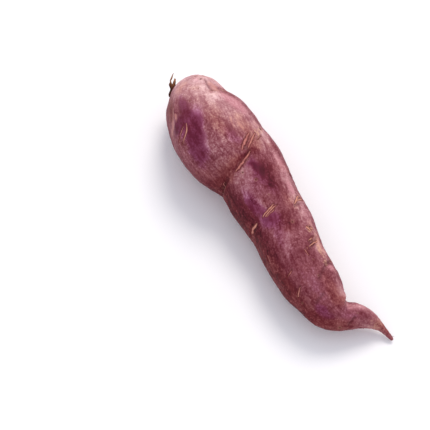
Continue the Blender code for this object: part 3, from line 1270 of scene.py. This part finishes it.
# strands of the torn vine, each through points of x, y, z and radius, in mm
vine = {
    "strands": (
        (
            (-89.4, 0.5, 20.2, 1.0),
            (-91.8, -0.5, 20.8, 0.8),
            (-93, 1.2, 21.9, 0.8),
            (-94.4, 3.2, 23, 1.0),
            (-95, 4.6, 23.8, 0.75),
        ),
        (
            (-92, 3, 21.5, 1.3),
            (-94.2, 2.9, 22.9, 1.15),
            (-95.6, 3.4, 23.9, 0.6),
            (-97.5, 4.2, 25, 0.45),
            (-98.2, 5.5, 25.9, 0.42),
            (-99.6, 8, 27.5, 0.12),
        ),
        (
            (-92.5, 3.4, 21.6, 1.2),
            (-94.3, 3.5, 23.1, 1.05),
            (-95.1, 4.9, 23.9, 0.75),
            (-96, 6.1, 24.9, 0.75),
            (-97, 7, 25.8, 0.25),
        ),
        (
            (-93.4, 4, 22.4, 0.8),
            (-95, 5.3, 23.9, 0.5),
            (-96.2, 6.6, 25.1, 0.36),
            (-96.4, 7.4, 25.6, 0.12),
        ),
        (
            (-93.6, 2.2, 22.4, 0.7),
            (-95.4, 2.4, 23.4, 0.42),
            (-96.3, 2.7, 24.1, 0.5),
            (-97, 3.4, 24.6, 0.15),
        ),
        (
            (-92.6, 3.6, 20.6, 0.7),
            (-94.6, 4.2, 20.9, 0.4),
            (-96, 5.2, 20.4, 0.25),
            (-96.8, 5.6, 19.6, 0.1),
        ),
    ),
    "step": 0.25,
    "thinnest": 0.05,
    "sides": 12,
    "ridges": 4.0,
    "winding": 900.0,  # how fast the ridges wind round a strand, in radians to a metre
    "ridgeShare": 0.22,
    "rough": 0.07,
}


def throughPoints(points, step):
    # a smooth run through the given points (Catmull-Rom), with even steps in mm
    given = np.array(points, float)
    ends = np.vstack([2 * given[0] - given[1], given, 2 * given[-1] - given[-2]])
    fine = []
    for k in range(len(given) - 1):
        count = max(2, int(np.linalg.norm(given[k + 1, :3] - given[k, :3]) / step))
        t = np.arange(count)[:, None] / count
        p0, p1, p2, p3 = ends[k : k + 4]
        fine.append(
            p1
            + 0.5 * t * (p2 - p0)
            + t**2 * (p0 - 2.5 * p1 + 2 * p2 - 0.5 * p3)
            + t**3 * (1.5 * (p1 - p2) + 0.5 * (p3 - p0))
        )
    return np.vstack([*fine, given[-1:]])


def strandMesh():
    runs = [throughPoints(points, vine["step"]) for points in vine["strands"]]
    widths = [np.maximum(run[:, 3], vine["thinnest"]) * mm for run in runs]
    return chainMesh("vineStrands", [run[:, :3] * mm for run in runs], widths)


def vineTree(graph, given):
    # sweeps a ridged section along each strand and roughens it along its fibres
    runs = graph.node("GeometryNodeMeshToCurve", None, {0: given["Geometry"]})
    runs = graph.keep(runs, "along", graph.splinePlace("Length"))
    width = graph.kept("halfWidth")
    swept = graph.sweep(runs, graph.roundSection(given["Sides"]), width, True)
    turn = graph.kept("around") * fullTurn
    length = graph.kept("along")
    ridge = graph.maths("SINE", turn * given["Ridges"] + length * given["Winding"])
    fibre = graph.vector(graph.maths("COSINE", turn), graph.maths("SINE", turn), length * 400.0)
    rough = graph.noise(fibre, 1.6, 2.0) * (given["Rough"] * mm)
    offset = graph.normal() * (ridge * given["Ridge Share"] * width + rough)
    return graph.shift(swept, offset)


vineLook = {
    "foot to tip": (
        (0.0, (44, 16, 10)),
        (0.3, (82, 42, 28)),
        (0.6, (146, 98, 66)),
        (1.0, (204, 172, 138)),
    ),
    "heights": (22.6, 26.4),  # where the strands turn from dark to pale, in mm
    "finish": {"Roughness": 0.85, "Specular IOR Level": 0.15},
}


def vineMaterial():
    material, graph, shader = newMaterial("driedVine")
    spot = graph.spot()
    turn = graph.read("around") * fullTurn
    along = graph.read("along") * 250.0
    fibre = graph.vector(graph.maths("COSINE", turn), graph.maths("SINE", turn), along)
    strand = graph.noise(fibre, 2.4, 3.0, 0.65)
    patchy = graph.noise(spot, 300.0, 2.0)
    grain = graph.noise(spot, 1800.0, 2.0)
    # the knot at the foot is dark and the torn tips are dry and pale
    tip = graph.smooth(graph.parts(spot)[2] / mm, *vineLook["heights"])
    level = 0.14 + tip * 0.56 + strand * 0.32 + patchy * 0.16 + grain * 0.1
    base = graph.ramp(level, vineLook["foot to tip"])
    graph.feed(shader, {"Base Color": base, "Normal": graph.bump(strand + grain * 0.4, 0.6, 0.08)})
    graph.feed(shader, vineLook["finish"])
    return material


print("vine: torn strands")
driedVine = vineMaterial()
vineMesh = grow(
    "vineStub",
    strandMesh(),
    vineTree,
    {
        "Sides": vine["sides"],
        "Ridges": vine["ridges"],
        "Winding": vine["winding"],
        "Ridge Share": vine["ridgeShare"],
        "Rough": vine["rough"],
        "Material": driedVine,
    },
)
faceOutward(vineMesh)
vineStub = addPiece("vineStub", vineMesh, driedVine)
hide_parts("dried_stem")

# fine hair roots left on the skin, the placed ones all on the tail: place, turn, length in mm
rootlets = {
    "placed": (
        (201.4, 40, 1.6),
        (199, -70, 1.8),
        (194, 165, 0.6),
        (189, 176, 0.5),
        (186, 205, 0.9),
        (182.5, 170, 0.5),
        (191, -20, 1.3),
        (179, 196, 0.7),
        (184, -40, 1.5),
        (174, 215, 1.0),
        (196, 100, 0.5),
    ),
    "scattered": 26,
    "firstPlace": 12,
    "rowLength": 176,
    "turns": (-150, 12),  # they rub off the upper side
    "lengths": (0.4, 1.3),
    "lean": 0.5,  # towards the tail
    "unruly": 0.3,
    "rooted": 0.25,  # how deep a hair starts in the skin, in mm
    "low": 4,  # under this height in mm they turn upward
    "thick": 0.1,
    "bend": 0.5,
    "seed": 21,
    "sides": 6,
}


def rootletMesh():
    chance = np.random.default_rng(rootlets["seed"])
    found = list(rootlets["placed"])
    for k in range(rootlets["scattered"]):
        along = (k + chance.uniform(0, 1)) * rootlets["rowLength"] / rootlets["scattered"]
        turn = chance.uniform(*rootlets["turns"])
        found.append((rootlets["firstPlace"] + along, turn, chance.uniform(*rootlets["lengths"])))
    place, turn, length = np.array(found).T
    here = form.skinPoint(place, turn)
    ahead = form.skinPoint(np.minimum(place + 1, form.length - 0.2), turn)
    outward = here - form.sections(place)[0] * mm
    outward /= np.linalg.norm(outward, axis=1)[:, None]
    lean = outward + (ahead - here) / mm * rootlets["lean"]
    lean = lean + chance.normal(0, rootlets["unruly"], here.shape)
    low = here[:, 2] < rootlets["low"] * mm
    lean[:, 2] = np.where(low, np.abs(lean[:, 2]) * 0.3, lean[:, 2])
    mesh = pointMesh("rootletPoints", here - outward * rootlets["rooted"] * mm)
    storeValues(mesh, "lean", lean, "FLOAT_VECTOR")
    storeValues(mesh, "long", length * mm)
    return mesh


def rootletTree(graph, given):
    # a tapering, wavering hair on every point
    hair = graph.node(
        "GeometryNodeCurvePrimitiveBezierSegment",
        None,
        {
            "Resolution": 10,
            "Start": (0, 0, 0),
            "Start Handle": (0, 0, 0.3),
            "End Handle": (0.1, 0, 0.7),
            "End": (0.45, 0.1, 1),
        },
    )
    lean = graph.kept("lean", "FLOAT_VECTOR")
    turned = graph.node("FunctionNodeAlignRotationToVector", {"axis": "Z"}, {"Vector": lean})
    hairs = graph.node(
        "GeometryNodeInstanceOnPoints",
        None,
        {
            "Points": given["Geometry"],
            "Instance": hair,
            "Rotation": turned,
            "Scale": graph.kept("long"),
        },
    )
    hairs = graph.node("GeometryNodeRealizeInstances", None, {"Geometry": hairs})
    share = graph.splinePlace("Factor")
    values = {"Vector": graph.position(), "Scale": 420.0, "Detail": 1.0}
    sway = graph.node("ShaderNodeTexNoise", None, values, "Color") - (0.5, 0.5, 0.5)
    hairs = graph.shift(hairs, sway * (given["Bend"] * mm * 2 * share))
    hairs = graph.keep(hairs, "along", graph.splinePlace("Length"))
    width = given["Thick"] * mm * (1.6 - share * 1.35)
    return graph.sweep(hairs, graph.roundSection(given["Sides"]), width, True)


hairLook = {
    "skin to end": (
        (0.0, (104, 42, 50)),
        (0.5, (138, 78, 76)),
        (1.0, (188, 142, 122)),
    ),
    "finish": {"Roughness": 0.8, "Specular IOR Level": 0.15},
}


def hairMaterial():
    # as red as the skin where it leaves it, dry and pale at the end
    material, graph, shader = newMaterial("rootHair")
    uneven = graph.noise(graph.spot(), 1500.0, 2.0)
    level = graph.read("along") / mm * 0.6 + uneven * 0.3
    graph.feed(shader, {"Base Color": graph.ramp(level, hairLook["skin to end"])})
    graph.feed(shader, hairLook["finish"])
    return material


print("hair roots: on the tail and along the low sides")
rootHair = hairMaterial()
hairMesh = grow(
    "hairRoots",
    rootletMesh(),
    rootletTree,
    {
        "Thick": rootlets["thick"],
        "Bend": rootlets["bend"],
        "Sides": rootlets["sides"],
        "Material": rootHair,
    },
)
faceOutward(hairMesh)
hairRoots = addPiece("hairRoots", hairMesh, rootHair)

for guideObject in (scarGuide, creaseGuide, eyeGuide, bpy.data.objects["lipSection"]):
    bpy.data.objects.remove(guideObject, do_unlink=True)

studio = {
    "floor": colour(249, 250, 250),
    "floorSize": 3.0,
    "sky": colour(245, 245, 255),
    "skyStrength": 0.88,
    "keyPlace": (-0.75, 1.2, 1.85),
    "keySize": 1.1,
    "keyPower": 26.0,
    "keyTint": colour(255, 247, 238),
}


def addFloor():
    material, graph, shader = newMaterial("paleTable")
    shade = opaque(studio["floor"])
    graph.feed(shader, {"Base Color": shade, "Roughness": 0.7, "Specular IOR Level": 0.2})
    size = studio["floorSize"]
    corners = [(-size, -size, 0), (size, -size, 0), (size, size, 0), (-size, size, 0)]
    mesh = pointMesh("table", corners, (), [(0, 1, 2, 3)])
    mesh.materials.append(material)
    addObject("table", mesh)


def addKeyLight():
    data = bpy.data.lights.new("keyLight", "AREA")
    data.shape = "DISK"
    data.size = studio["keySize"]
    data.energy = studio["keyPower"]
    data.color = studio["keyTint"]
    light = addObject("keyLight", data)
    light.location = studio["keyPlace"]
    light.rotation_euler = Vector(studio["keyPlace"]).to_track_quat("Z", "Y").to_euler()


def addSky():
    world = bpy.data.worlds.new("sky")
    world.use_nodes = True
    back = world.node_tree.nodes["Background"]
    back.inputs["Color"].default_value = opaque(studio["sky"])
    back.inputs["Strength"].default_value = studio["skyStrength"]
    scene.world = world


print("table, light and sky")
addFloor()
addKeyLight()
addSky()
scene.view_settings.view_transform = "Standard"
scene.view_settings.look = "None"

bpy.context.view_layer.update()
for piece in (skin, scarLips, vineStub, hairRoots):
    print(piece.name + ":", len(piece.data.polygons), "faces")
